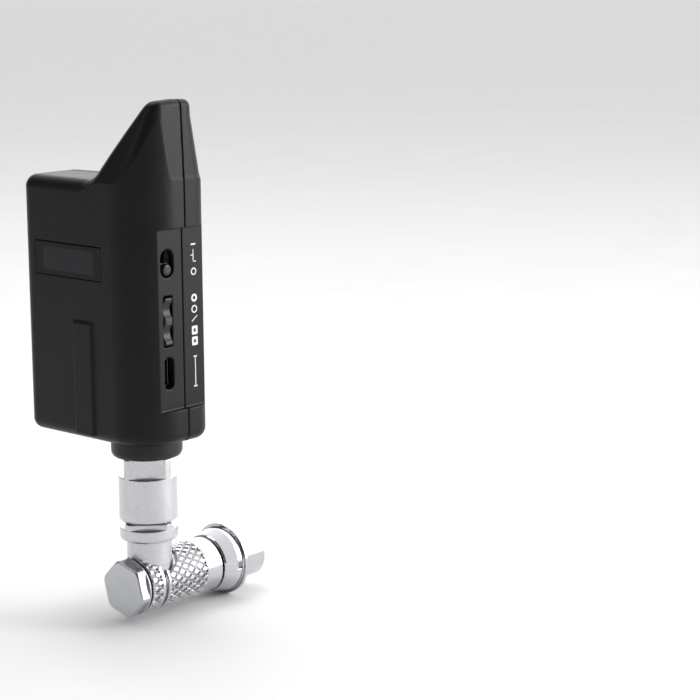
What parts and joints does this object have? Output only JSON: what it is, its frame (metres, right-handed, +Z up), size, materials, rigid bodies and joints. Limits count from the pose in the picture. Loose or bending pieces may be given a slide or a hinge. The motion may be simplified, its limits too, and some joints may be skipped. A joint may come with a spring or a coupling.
{
  "type": "wireless receiver unit",
  "caption": "Slim black wireless receiver with display, side switches and antenna fin, standing on a right-angle push-pull plug in its chassis socket.",
  "frame": {"origin": "on the plug axis, in the plane of the panel face that the socket's conical nut seats on", "axes": "+Y along the plug axis into the host's panel, +Z up the stem, so -Y is the display side and +X the control side"},
  "size_m": [0.042, 0.0485, 0.1265],
  "materials": {
    "shell_plastic": "fine-textured satin black",
    "window": "gloss black",
    "display": "grey panel",
    "board": "solder mask green",
    "shield": "tinned",
    "antenna_coat": "ceramic cream",
    "battery_foil": "foil",
    "switch_plastic": "satin black",
    "port_metal": "plated",
    "screw_steel": "black oxide",
    "insert_plastic": "natural",
    "collar_plastic": "satin black",
    "satin_metal": "satin chrome",
    "bright_metal": "bright chrome",
    "brass": "gold plated",
    "seal_rubber": "black",
    "wire_skin": "pvc"
  },
  "bodies": {
    "socket": {"conical_nut": "bright_metal", "socket_shell": "bright_metal", "socket_insert": "insert_plastic", "socket_contacts": "brass"},
    "receiver": {"front_shell": "shell_plastic", "rear_shell": "shell_plastic", "display_window": "window", "display_module": "display", "main_pcb": "board", "rf_shield": "shield", "antenna": "antenna_coat", "battery": "battery_foil", "power_switch_body": "switch_plastic", "mode_switch_body": "switch_plastic", "usb_socket": "port_metal", "case_screws": "screw_steel", "wire_header": "insert_plastic", "neck_collar": "collar_plastic", "stem_nut": "satin_metal", "stem_tube": "satin_metal", "collet_nut": "satin_metal", "collet": "brass", "elbow_body": "satin_metal", "elbow_cap": "satin_metal", "cap_seal": "seal_rubber", "plug_shell": "bright_metal", "latch_fingers": "brass", "plug_insert": "insert_plastic", "plug_contacts": "brass", "signal_wires": "wire_skin"},
    "latch_sleeve": {"latch_sleeve": "bright_metal"},
    "power_slider": {"power_slider": "switch_plastic"},
    "mode_rocker": {"mode_rocker": "switch_plastic"}
  },
  "joints": [
    {"name": "plug_pull", "type": "slide", "parent": "socket", "child": "receiver", "axis": [0, -1, 0], "range_m": [0, 0.012]},
    {"name": "sleeve_release", "type": "slide", "parent": "receiver", "child": "latch_sleeve", "axis": [0, -1, 0], "range_m": [0, 0.0009], "stiffness_N_per_m": 1500},
    {"name": "power_slide", "type": "slide", "parent": "receiver", "child": "power_slider", "axis": [0, 0, 1], "range_m": [0, 0.003]},
    {"name": "mode_rock", "type": "hinge", "parent": "receiver", "child": "mode_rocker", "pos_m": [0.0078, -0.0273, 0.0658], "axis": [0, 1, 0], "range_deg": [-4, 4], "stiffness_Nm_per_rad": 0.02}
  ]
}
